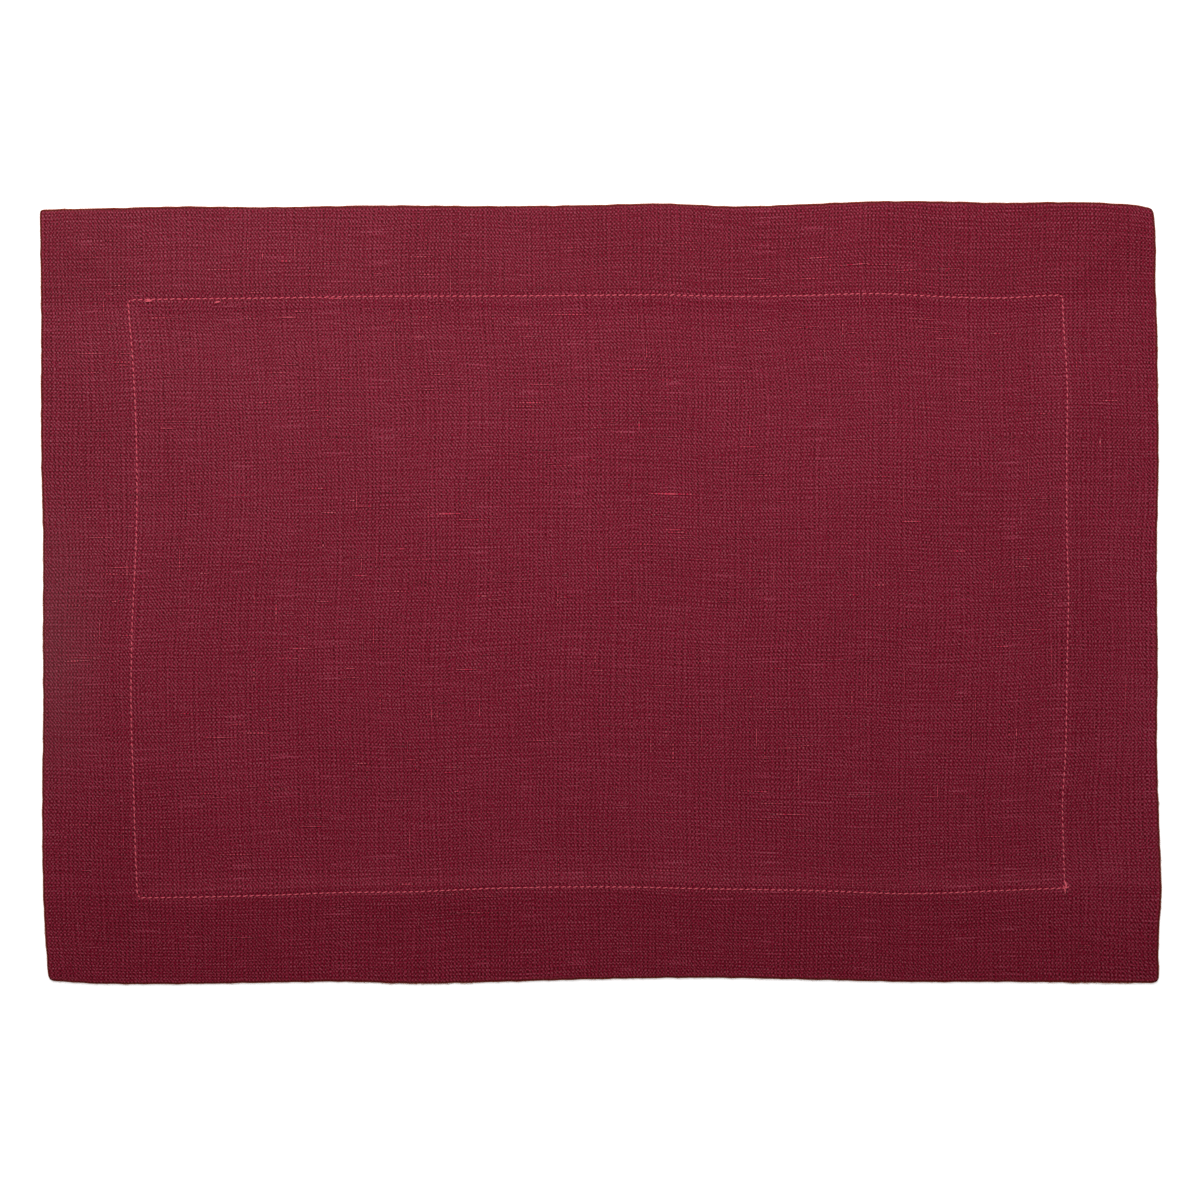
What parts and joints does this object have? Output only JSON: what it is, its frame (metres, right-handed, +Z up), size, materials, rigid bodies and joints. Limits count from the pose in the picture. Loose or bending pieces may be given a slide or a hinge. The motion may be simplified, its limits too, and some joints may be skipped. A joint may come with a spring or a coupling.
{
  "type": "fabric placemat",
  "caption": "Rectangular linen placemat lying flat, with a deep mitred hem folded to the back and held by a line of contrasting stitches.",
  "frame": {"origin": "on the table, under the middle of the cloth's bounding box", "axes": "+X along the long sides, +Y across them, +Z up out of the face"},
  "size_m": [0.5112, 0.357, 0.0024],
  "materials": {
    "linen": "matt plain weave with slubs, burgundy",
    "thread": "coral sewing thread"
  },
  "bodies": {
    "root": {"placemat_cloth": "linen"}
  },
  "joints": []
}
